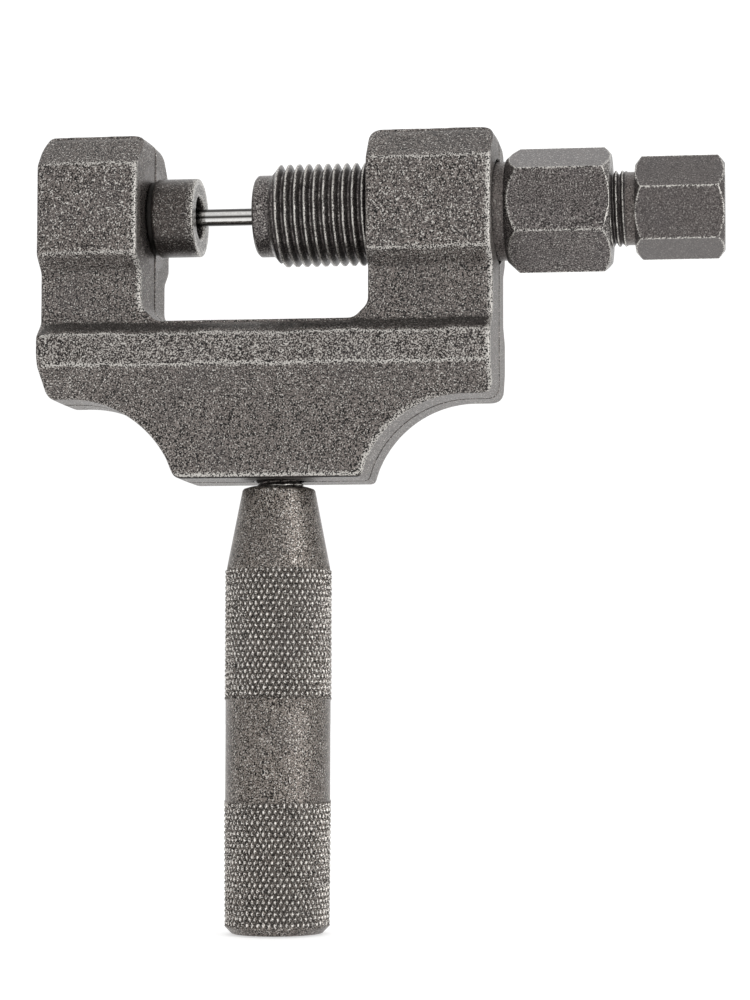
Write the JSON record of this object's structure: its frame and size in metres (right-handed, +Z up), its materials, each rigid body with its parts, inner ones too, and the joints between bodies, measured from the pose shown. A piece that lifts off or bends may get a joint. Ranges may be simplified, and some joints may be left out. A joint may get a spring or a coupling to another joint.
{
  "type": "chain tool",
  "caption": "Screw-type chain breaking and riveting tool: forged C-frame with an anvil sleeve, hollow outer drive bolt, inner drive bolt with push pin, and a knurled handle.",
  "frame": {"origin": "centre of the handle's butt", "axes": "+X along the screw line, from the anvil sleeve towards the drive bolts' hexagons; +Z up the handle's axis to the frame; -Y is the front"},
  "size_m": [0.1059, 0.0198, 0.124],
  "materials": {
    "forged_steel": "drop-forged and fine-blasted, dark phosphate, edges worn bright",
    "machined_steel": "turned and blackened, satin",
    "knurled_steel": "diamond-knurled and blackened, satin",
    "ground_steel": "hardened and ground bright",
    "spring_steel": "drawn wire"
  },
  "bodies": {
    "handle": {"knurled_handle": "knurled_steel"},
    "stud": {"handle_stud": "machined_steel"},
    "frame": {"forged_frame": "forged_steel", "anvil_sleeve": "machined_steel"},
    "spring": {"return_spring": "spring_steel"},
    "outer_bolt": {"outer_drive_bolt": "machined_steel"},
    "pin": {"push_pin": "ground_steel"},
    "inner_bolt": {"inner_drive_bolt": "machined_steel"}
  },
  "joints": [
    {"name": "head_turn", "type": "hinge", "parent": "handle", "child": "stud", "pos_m": [0, 0, 0.069], "axis": [0, 0, 1], "range_deg": [0, 2880]},
    {"name": "head_lift", "type": "slide", "parent": "stud", "child": "frame", "axis": [0, 0, 1], "range_m": [0, 0.01]},
    {"name": "outer_feed", "type": "slide", "parent": "frame", "child": "spring", "axis": [1, 0, 0], "range_m": [-0.00112, 0.0165]},
    {"name": "outer_turn", "type": "hinge", "parent": "spring", "child": "outer_bolt", "pos_m": [0, 0, 0.1117], "axis": [1, 0, 0], "range_deg": [-270, 3960]},
    {"name": "inner_feed", "type": "slide", "parent": "outer_bolt", "child": "pin", "axis": [1, 0, 0], "range_m": [-0.003, 0.0125], "deforming": ["return_spring"]},
    {"name": "inner_turn", "type": "hinge", "parent": "pin", "child": "inner_bolt", "pos_m": [0, 0, 0.1117], "axis": [1, 0, 0], "range_deg": [-1080, 4500]}
  ],
  "couplings": [
    {"joint": "head_lift", "follows": "head_turn", "m_per_rad": 0.00019894},
    {"joint": "outer_feed", "follows": "outer_turn", "m_per_rad": 0.00023873},
    {"joint": "inner_feed", "follows": "inner_turn", "m_per_rad": 0.00015915}
  ]
}
